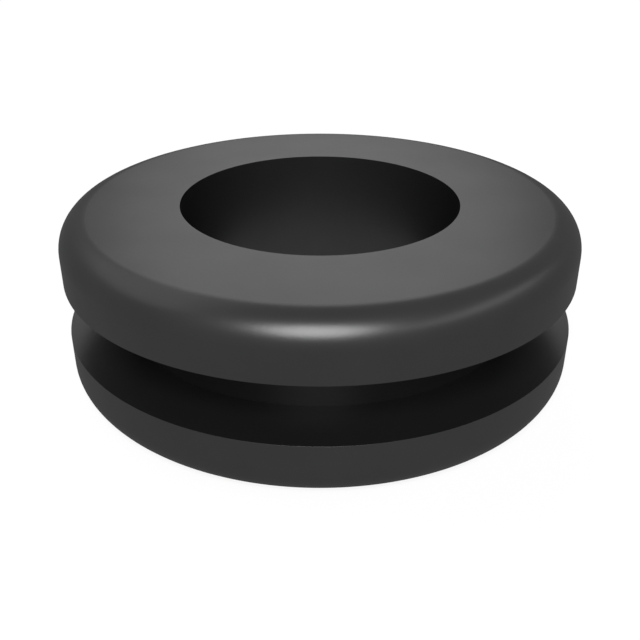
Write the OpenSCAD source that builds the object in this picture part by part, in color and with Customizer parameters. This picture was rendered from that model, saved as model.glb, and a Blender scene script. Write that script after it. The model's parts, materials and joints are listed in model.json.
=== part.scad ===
// Panel grommet moulded in one piece from black rubber.
// It snaps into a round hole in a sheet: the groove grips the sheet's edge, the two flanges
// hold it from both sides, and the bore carries a cable clear of the sheet's edge.
// The grommet stands on its lower flange. Its axis is Z, and its origin is the centre of the
// lower flange's outer face.

/* [Panel] */
// Diameter of the panel's hole, which is also the diameter at the bottom of the groove
panel_hole_d = 14; // [11.5:0.5:30]
// Thickness of the panel, which is also the width of the groove
panel_t = 2; // [0.8:0.1:6]

/* [Cable] */
// Diameter of the bore
bore_d = 9.75; // [4:0.25:12.5]

/* [Flanges] */
// How far each flange reaches past the edge of the panel's hole
flange_reach = 2; // [1.1:0.1:8]
// Thickness of each flange
flange_t = 2; // [1.1:0.1:6]
// Radius that rounds each flange's outer rim
rim_r = 1; // [0.2:0.1:1.9]

/* [Hidden] */
$fn = 180;

bore_r = bore_d / 2;
groove_r = panel_hole_d / 2;
flange_r = groove_r + flange_reach;
grommet_h = panel_t + 2 * flange_t;

// Half section of one flange, lying on its outer face. The rim is rounded at that face and
// square at the other, where it bears on the panel.
module flange_section() {
    translate([bore_r, 0])
        square([flange_r - rim_r - bore_r, flange_t]);
    translate([bore_r, rim_r])
        square([flange_r - bore_r, flange_t - rim_r]);
    translate([flange_r - rim_r, rim_r])
        circle(r = rim_r);
}

// Half section of the tube that lines the panel's hole and joins the flanges.
module neck_section() {
    translate([bore_r, 0])
        square([groove_r - bore_r, grommet_h]);
}

// The two flanges face each other across the groove.
module grommet_section() {
    neck_section();
    flange_section();
    translate([0, grommet_h])
        mirror([0, 1])
            flange_section();
}

module grommet() {
    color("#2c2c2d")
        rotate_extrude()
            grommet_section();
}

grommet();
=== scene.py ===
"""Moulded rubber panel grommet: the ring's visible surface, and the small studio that shows it.

The file is laid out as an add-on. Run as a script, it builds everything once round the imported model.
"""

import json
import math
from collections import namedtuple

import bmesh
import bpy
from bpy.props import FloatProperty, FloatVectorProperty, PointerProperty
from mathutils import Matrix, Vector


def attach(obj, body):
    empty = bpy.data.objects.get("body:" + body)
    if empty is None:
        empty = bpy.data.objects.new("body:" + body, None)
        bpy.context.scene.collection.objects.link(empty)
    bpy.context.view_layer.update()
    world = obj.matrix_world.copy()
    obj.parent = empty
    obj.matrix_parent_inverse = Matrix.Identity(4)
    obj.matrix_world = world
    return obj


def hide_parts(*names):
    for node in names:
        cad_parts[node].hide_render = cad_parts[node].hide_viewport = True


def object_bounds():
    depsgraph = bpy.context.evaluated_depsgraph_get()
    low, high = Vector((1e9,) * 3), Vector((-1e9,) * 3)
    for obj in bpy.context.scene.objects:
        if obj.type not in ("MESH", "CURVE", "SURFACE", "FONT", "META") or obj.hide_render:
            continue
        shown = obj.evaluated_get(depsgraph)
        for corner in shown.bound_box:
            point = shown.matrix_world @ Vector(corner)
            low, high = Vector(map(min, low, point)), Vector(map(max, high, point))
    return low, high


bl_info = {
    "name": "Rubber Grommet",
    "version": (1, 0, 0),
    "blender": (4, 5, 0),
    "location": "3D View > Sidebar > Grommet",
    "description": "Models a moulded rubber panel grommet and the studio that shows it",
    "category": "Add Mesh",
}

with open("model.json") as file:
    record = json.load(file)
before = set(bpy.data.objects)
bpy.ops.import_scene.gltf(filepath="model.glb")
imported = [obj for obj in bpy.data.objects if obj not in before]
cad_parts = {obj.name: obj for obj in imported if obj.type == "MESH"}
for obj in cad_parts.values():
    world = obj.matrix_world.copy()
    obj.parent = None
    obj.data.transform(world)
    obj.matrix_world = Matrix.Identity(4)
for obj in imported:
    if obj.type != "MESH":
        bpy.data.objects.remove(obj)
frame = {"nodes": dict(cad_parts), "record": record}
CAD_LOW, CAD_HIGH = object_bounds()

MM = 0.001
# How far below the highest point a vertex may lie and still be in the flat top.
FLATNESS = 0.001 * MM


def linear_colour(hex_code):
    """The linear red, green and blue of an sRGB colour written as #rrggbb."""
    channels = [int(hex_code[i:i + 2], 16) / 255 for i in (1, 3, 5)]
    return [c / 12.92 if c <= 0.04045 else ((c + 0.055) / 1.055) ** 2.4 for c in channels]


def mount_size(name, dimension):
    """One of a mount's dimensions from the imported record, in metres."""
    mount = next(m for m in frame["record"]["mounts"] if m["name"] == name)
    return mount["dims"][dimension] * MM


def flat_face_radius():
    """Where the CAD ring's flat top ends and its rounded rim begins."""
    vertices = frame["nodes"]["grommet"].data.vertices
    return max(v.co.xy.length for v in vertices if CAD_HIGH.z - v.co.z < FLATNESS)


class GrommetSizes(bpy.types.PropertyGroup):
    """The ring's sizes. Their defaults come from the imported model."""

    outer_d: FloatProperty(
        name="Outer diameter", description="Across the two flanges",
        default=2 * CAD_HIGH.x, unit="LENGTH", precision=5)
    height: FloatProperty(
        name="Height", description="From one flange's outer face to the other's",
        default=CAD_HIGH.z - CAD_LOW.z, unit="LENGTH", precision=5)
    bore_d: FloatProperty(
        name="Bore", description="Diameter of the hole for the cable",
        default=2 * mount_size("cable_bore", "r_mm"), unit="LENGTH", precision=5)
    groove_d: FloatProperty(
        name="Groove bottom", description="Diameter at the bottom of the panel groove",
        default=2 * mount_size("panel_groove", "r_mm"), unit="LENGTH", precision=5)
    groove_w: FloatProperty(
        name="Groove width", description="Gap between the flanges, which takes the panel",
        default=mount_size("panel_groove", "length_mm"), unit="LENGTH", precision=5)
    rim_r: FloatProperty(
        name="Rim radius", description="Rounding of each flange's outer rim",
        default=CAD_HIGH.x - flat_face_radius(), unit="LENGTH", precision=5)
    edge_r: FloatProperty(
        name="Edge softness", description="Rounding of the groove's lips and the bore's edges",
        default=0.004 * MM, unit="LENGTH", precision=6)


class GrommetFinish(bpy.types.PropertyGroup):
    """The rubber's colour and surface."""

    colour: FloatVectorProperty(
        name="Rubber", description="Colour of the carbon-filled rubber",
        subtype="COLOR", size=3, min=0, max=1, default=linear_colour("#0e0e0f"))
    bloom: FloatVectorProperty(
        name="Bloom", description="Colour where a thin film of wax has come to the surface",
        subtype="COLOR", size=3, min=0, max=1, default=linear_colour("#121212"))
    gloss: FloatProperty(
        name="Gloss", description="Share of the surface that is smooth skin, between the mould's pits",
        subtype="FACTOR", min=0, max=1, default=0.155)
    gloss_roughness: FloatProperty(
        name="Gloss roughness", description="How far the smooth skin spreads a reflection",
        subtype="FACTOR", min=0, max=1, default=0.32)
    grain: FloatProperty(
        name="Grain", description="Width that the mould's spark-eroded pits are drawn at",
        default=0.1 * MM, unit="LENGTH", precision=6)
    grain_depth: FloatProperty(
        name="Grain depth", description="Depth that the mould's spark-eroded pits are drawn at",
        default=0.0015 * MM, unit="LENGTH", precision=6)


class GrommetStudio(bpy.types.PropertyGroup):
    """The lamps and the room's own light. A brightness of 1 is that of white paper."""

    front: FloatProperty(
        name="Front softbox", description="Brightness of the softbox above the camera", min=0, default=17.5)
    back: FloatProperty(
        name="Back softbox", description="Brightness of the softbox behind the grommet", min=0, default=3)
    left: FloatProperty(
        name="Left softbox", description="Brightness of the broad softbox on the left", min=0, default=1.2)
    right: FloatProperty(
        name="Right softbox", description="Brightness of the long softbox on the right", min=0, default=2.6)
    room: FloatProperty(
        name="Room", description="Brightness of the light from all round", min=0, default=0.08)


# The flats that a rim's rounding, a softened edge and the full turn are made of.
RIM_STEPS = 16
EDGE_STEPS = 3
SPIN_STEPS = 256
# Points nearer than this are merged. It is far less than a step of the finest rounding.
WELD = 0.0001 * MM
# Steps that turn more than this are shaded sharp, so that the flat faces stay flat.
SHARP_ANGLE = math.radians(10)
# The corners that are rounded. The two at the bottom of the groove are left sharp.
RIMS = ("rim_low", "rim_high")
EDGES = ("bore_low", "lip_low", "lip_high", "bore_high")


def section_corners(sizes):
    """The half section's eight corners, as radius and height in millimetres."""
    bore_r = sizes.bore_d / 2 / MM
    groove_r = sizes.groove_d / 2 / MM
    outer_r = sizes.outer_d / 2 / MM
    top = sizes.height / MM
    groove_low = (top - sizes.groove_w / MM) / 2
    groove_high = top - groove_low
    return {
        "bore_low": (bore_r, 0),
        "rim_low": (outer_r, 0),
        "lip_low": (outer_r, groove_low),
        "groove_low": (groove_r, groove_low),
        "groove_high": (groove_r, groove_high),
        "lip_high": (outer_r, groove_high),
        "rim_high": (outer_r, top),
        "bore_high": (bore_r, top),
    }


def round_corners(mesh, corners, radius, steps):
    """Round corners of the flat section to a true arc."""
    bmesh.ops.bevel(
        mesh, geom=corners, offset=radius, offset_type="OFFSET", segments=steps,
        profile=0.5, affect="VERTICES", material=-1)


def ring_mesh(sizes):
    """Draw the half section, round its corners and spin it round the bore's axis.

    It is drawn in millimetres and brought to metres last, because a bevel drops steps near 1 um.
    """
    mesh = bmesh.new()
    corners = {name: mesh.verts.new((r, 0, z)) for name, (r, z) in section_corners(sizes).items()}
    mesh.faces.new(corners.values())
    round_corners(mesh, [corners[name] for name in RIMS], sizes.rim_r / MM, RIM_STEPS)
    round_corners(mesh, [corners[name] for name in EDGES], sizes.edge_r / MM, EDGE_STEPS)
    bmesh.ops.delete(mesh, geom=mesh.faces[:], context="FACES_ONLY")
    bmesh.ops.spin(
        mesh, geom=mesh.verts[:] + mesh.edges[:], cent=(0, 0, 0), axis=(0, 0, 1),
        angle=2 * math.pi, steps=SPIN_STEPS, use_merge=True)
    bmesh.ops.remove_doubles(mesh, verts=mesh.verts[:], dist=WELD / MM)
    bmesh.ops.recalc_face_normals(mesh, faces=mesh.faces[:])
    bmesh.ops.scale(mesh, vec=(MM, MM, MM), verts=mesh.verts[:])
    for face in mesh.faces:
        face.smooth = True
    for edge in mesh.edges:
        edge.smooth = edge.calc_face_angle() < SHARP_ANGLE
    return mesh


def new_object(name, mesh):
    """Put a bmesh into the scene as an object at the origin."""
    data = bpy.data.meshes.new(name)
    mesh.to_mesh(data)
    mesh.free()
    item = bpy.data.objects.new(name, data)
    bpy.context.scene.collection.objects.link(item)
    return item


def add_node(tree, kind, settings=None, links=None):
    """Add a node, set its properties and sockets, and link other nodes' outputs to its inputs.

    A socket goes by its name, or by its place where sockets share a name.
    """
    node = tree.nodes.new(kind)
    for key, value in (settings or {}).items():
        if isinstance(key, int) or key in node.inputs:
            node.inputs[key].default_value = value
        else:
            setattr(node, key, value)
    for key, output in (links or {}).items():
        tree.links.new(output, node.inputs[key])
    return node


def empty_material(name):
    """A new material with no nodes, and its node tree."""
    material = bpy.data.materials.new(name)
    material.use_nodes = True
    material.node_tree.nodes.clear()
    return material, material.node_tree


# The places of the sockets that a Mix node mixes colours with. It has others of the same names.
MIX_SHARE, MIX_FIRST, MIX_SECOND, MIX_RESULT = 0, 6, 7, 2
# Wax comes to the surface in patches about this wide, and shifts the skin's share a little.
BLOOM_PATCH = 3 * MM
SKIN_SHIFT = 0.1
# How many finer waves the patches and the pits hold, and how strong each is beside the last.
BLOOM_DETAIL = 3
BLOOM_RAGGEDNESS = 0.55
PIT_DETAIL = 2
PIT_RAGGEDNESS = 0.6
# The pits' walls send light back evenly, and have no gloss of their own.
PIT_ROUGHNESS = 0.9
PIT_GLOSS = 0
# Plain rubber's index is about 1.5. The carbon-rich skin's is matched to the object's sheen.
SKIN_INDEX = 2.5


def moulded_rubber(finish):
    """Nitrile rubber pressed in a spark-eroded mould.

    The carbon in it makes it near black. The mould's pits leave most of the surface matt, and the
    smooth, carbon-rich skin between them mirrors lamps softly. So there is no sharp reflection but
    a bright band where the surface curves past a lamp, and the sides stay dark at a low angle.
    Real pits are some 0.02 mm wide, too fine to show. They are drawn five times as wide, so that
    the band has a faint grain.
    """
    material, tree = empty_material("nitrile_rubber_moulded")
    place = add_node(tree, "ShaderNodeTexCoord").outputs["Object"]
    patches = add_node(
        tree, "ShaderNodeTexNoise",
        {"Scale": 1 / BLOOM_PATCH, "Detail": BLOOM_DETAIL, "Roughness": BLOOM_RAGGEDNESS},
        {"Vector": place}).outputs["Fac"]
    colour = add_node(
        tree, "ShaderNodeMix",
        {"data_type": "RGBA", MIX_FIRST: [*finish.colour, 1], MIX_SECOND: [*finish.bloom, 1]},
        {MIX_SHARE: patches})
    skin = add_node(
        tree, "ShaderNodeMapRange",
        {"To Min": finish.gloss * (1 - SKIN_SHIFT), "To Max": finish.gloss * (1 + SKIN_SHIFT)},
        {"Value": patches})
    pits = add_node(
        tree, "ShaderNodeTexNoise",
        {"Scale": 1 / finish.grain, "Detail": PIT_DETAIL, "Roughness": PIT_RAGGEDNESS},
        {"Vector": place})
    relief = add_node(
        tree, "ShaderNodeBump",
        {"Distance": finish.grain_depth},
        {"Height": pits.outputs["Fac"]}).outputs["Normal"]
    surface = add_node(
        tree, "ShaderNodeBsdfPrincipled",
        {"Roughness": PIT_ROUGHNESS, "Specular IOR Level": PIT_GLOSS,
         "Coat Roughness": finish.gloss_roughness, "Coat IOR": SKIN_INDEX},
        {"Base Color": colour.outputs[MIX_RESULT], "Coat Weight": skin.outputs["Result"],
         "Normal": relief, "Coat Normal": relief})
    add_node(tree, "ShaderNodeOutputMaterial", links={"Surface": surface.outputs["BSDF"]})
    return material


def seen_directly(tree):
    """1 for a ray that shows the background: to the camera, in a reflection or through something clear."""
    rays = add_node(tree, "ShaderNodeLightPath")
    seen = rays.outputs["Is Camera Ray"]
    for kind in ("Is Glossy Ray", "Is Transmission Ray"):
        either = add_node(
            tree, "ShaderNodeMath", {"operation": "MAXIMUM"}, {0: seen, 1: rays.outputs[kind]})
        seen = either.outputs["Value"]
    return seen


FLOOR_RADIUS = 0.3
FLOOR_SIDES = 96
FLOOR_GAP = 0.01 * MM
# What the floor shows of its own and what it returns of the lamps' light, which carries the
# grommet's shadow. Under the lamps the two come to a little over 1, and 1 is white.
FLOOR_GLOW = "#ececec"
FLOOR_RETURN = "#616161"


def white_floor():
    """A matt white table top, which looks plain white and keeps the grommet's soft shadow."""
    material, tree = empty_material("white_paper_matt")
    glow = add_node(
        tree, "ShaderNodeEmission", {"Color": [*linear_colour(FLOOR_GLOW), 1]},
        {"Strength": seen_directly(tree)})
    paper = add_node(tree, "ShaderNodeBsdfDiffuse", {"Color": [*linear_colour(FLOOR_RETURN), 1]})
    both = add_node(
        tree, "ShaderNodeAddShader", links={0: glow.outputs["Emission"], 1: paper.outputs["BSDF"]})
    add_node(tree, "ShaderNodeOutputMaterial", links={"Surface": both.outputs["Shader"]})
    return material


def lay_floor():
    """Lay the table top, just under the grommet."""
    mesh = bmesh.new()
    bmesh.ops.create_circle(mesh, cap_ends=True, segments=FLOOR_SIDES, radius=FLOOR_RADIUS)
    bmesh.ops.translate(mesh, vec=(0, 0, CAD_LOW.z - FLOOR_GAP), verts=mesh.verts[:])
    floor = new_object("floor", mesh)
    floor.data.materials.append(white_floor())


ROOM_COLOUR = "#ffffff"
# The strength of the room where it is seen. 1 is white.
ROOM_SEEN = 1


def white_room(light):
    """A world that looks plain white and gives only a little light of its own."""
    world = bpy.data.worlds.new("white_room")
    world.use_nodes = True
    tree = world.node_tree
    tree.nodes.clear()
    strength = add_node(
        tree, "ShaderNodeMapRange", {"To Min": light, "To Max": ROOM_SEEN},
        {"Value": seen_directly(tree)})
    background = add_node(
        tree, "ShaderNodeBackground", {"Color": [*linear_colour(ROOM_COLOUR), 1]},
        {"Strength": strength.outputs["Result"]})
    add_node(tree, "ShaderNodeOutputWorld", links={"Surface": background.outputs["Background"]})
    return world


def aim(item, target, azimuth, elevation, distance):
    """Put a lamp or the camera into the scene, at a distance from its target and facing it.

    The angles are in degrees. Azimuth 0 is the camera's side, and 90 is on the camera's right.
    """
    turn = math.radians(azimuth)
    rise = math.radians(elevation)
    away = Vector((
        math.sin(turn) * math.cos(rise),
        -math.cos(turn) * math.cos(rise),
        math.sin(rise)))
    item.location = target + away * distance
    item.rotation_euler = away.to_track_quat("Z", "Y").to_euler()
    bpy.context.scene.collection.objects.link(item)


Softbox = namedtuple("Softbox", "azimuth elevation width height")
# Where each softbox hangs and how large it looks from the grommet, in degrees.
SOFTBOXES = {
    "front": Softbox(-2, 42, 36, 36),
    "back": Softbox(180, 28, 32, 34),
    "left": Softbox(-120, 46, 66, 36),
    "right": Softbox(76, 35, 72, 13),
}
SOFTBOX_TARGET = Vector((0, 0, 0))
SOFTBOX_DISTANCE = 1


def hang_softbox(name, place, brightness):
    """Hang an oval softbox that faces the grommet."""
    lamp = bpy.data.lights.new(name, "AREA")
    lamp.shape = "ELLIPSE"
    lamp.size = 2 * SOFTBOX_DISTANCE * math.tan(math.radians(place.width / 2))
    lamp.size_y = 2 * SOFTBOX_DISTANCE * math.tan(math.radians(place.height / 2))
    face_area = math.pi / 4 * lamp.size * lamp.size_y
    # An even, matt glow gives off pi times its brightness from each square metre.
    lamp.energy = math.pi * brightness * face_area
    item = bpy.data.objects.new(name, lamp)
    aim(item, SOFTBOX_TARGET, place.azimuth, place.elevation, SOFTBOX_DISTANCE)


# The camera looks at a point on the bore's axis, from the photograph's height and distance.
CAMERA_TARGET = Vector((0, 0, 1.16 * MM))
CAMERA_AZIMUTH = 0
CAMERA_ELEVATION = 28.443
CAMERA_DISTANCE = 31.859 * MM
CAMERA_NEAREST = 1 * MM
# The lens's focal length, which Blender takes in millimetres.
CAMERA_LENS = 47.34


def aim_camera():
    """Set up the camera at the photograph's viewing angle."""
    lens = bpy.data.cameras.new("camera")
    lens.lens = CAMERA_LENS
    lens.clip_start = CAMERA_NEAREST
    camera = bpy.data.objects.new("camera", lens)
    aim(camera, CAMERA_TARGET, CAMERA_AZIMUTH, CAMERA_ELEVATION, CAMERA_DISTANCE)
    bpy.context.scene.camera = camera


class GROMMET_OT_ring(bpy.types.Operator):
    """Model the rubber ring and give it its moulded finish"""

    bl_idname = "grommet.ring"
    bl_label = "Rubber Ring"

    def execute(self, context):
        ring = new_object("rubber_ring", ring_mesh(context.scene.grommet_sizes))
        ring.data.materials.append(moulded_rubber(context.scene.grommet_finish))
        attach(ring, "root")
        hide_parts("grommet")
        return {"FINISHED"}


class GROMMET_OT_studio(bpy.types.Operator):
    """Lay the floor, hang the lamps and set up the camera"""

    bl_idname = "grommet.studio"
    bl_label = "Studio"

    def execute(self, context):
        scene = context.scene
        studio = scene.grommet_studio
        lay_floor()
        for side, place in SOFTBOXES.items():
            hang_softbox(side + "_softbox", place, getattr(studio, side))
        scene.world = white_room(studio.room)
        scene.view_settings.view_transform = "Standard"
        aim_camera()
        return {"FINISHED"}


class GROMMET_PT_panel(bpy.types.Panel):
    """Sidebar panel with the grommet's operators and settings"""

    bl_label = "Rubber Grommet"
    bl_idname = "GROMMET_PT_panel"
    bl_space_type = "VIEW_3D"
    bl_region_type = "UI"
    bl_category = "Grommet"

    def draw(self, context):
        for step in (GROMMET_OT_ring, GROMMET_OT_studio):
            self.layout.operator(step.bl_idname)
        for group in ("grommet_sizes", "grommet_finish", "grommet_studio"):
            settings = getattr(context.scene, group)
            box = self.layout.box()
            for name in settings.bl_rna.properties.keys():
                if name not in ("rna_type", "name"):
                    box.prop(settings, name)


CLASSES = (
    GrommetSizes, GrommetFinish, GrommetStudio, GROMMET_OT_ring, GROMMET_OT_studio, GROMMET_PT_panel)


def register():
    """Register the classes, and give the scene the grommet's settings."""
    for item in CLASSES:
        bpy.utils.register_class(item)
    bpy.types.Scene.grommet_sizes = PointerProperty(type=GrommetSizes)
    bpy.types.Scene.grommet_finish = PointerProperty(type=GrommetFinish)
    bpy.types.Scene.grommet_studio = PointerProperty(type=GrommetStudio)


def unregister():
    """Take the settings and the classes away again."""
    del bpy.types.Scene.grommet_studio
    del bpy.types.Scene.grommet_finish
    del bpy.types.Scene.grommet_sizes
    for item in reversed(CLASSES):
        bpy.utils.unregister_class(item)


def main():
    """Build the grommet and its studio."""
    register()
    bpy.ops.grommet.ring()
    bpy.ops.grommet.studio()


if __name__ == "__main__":
    main()
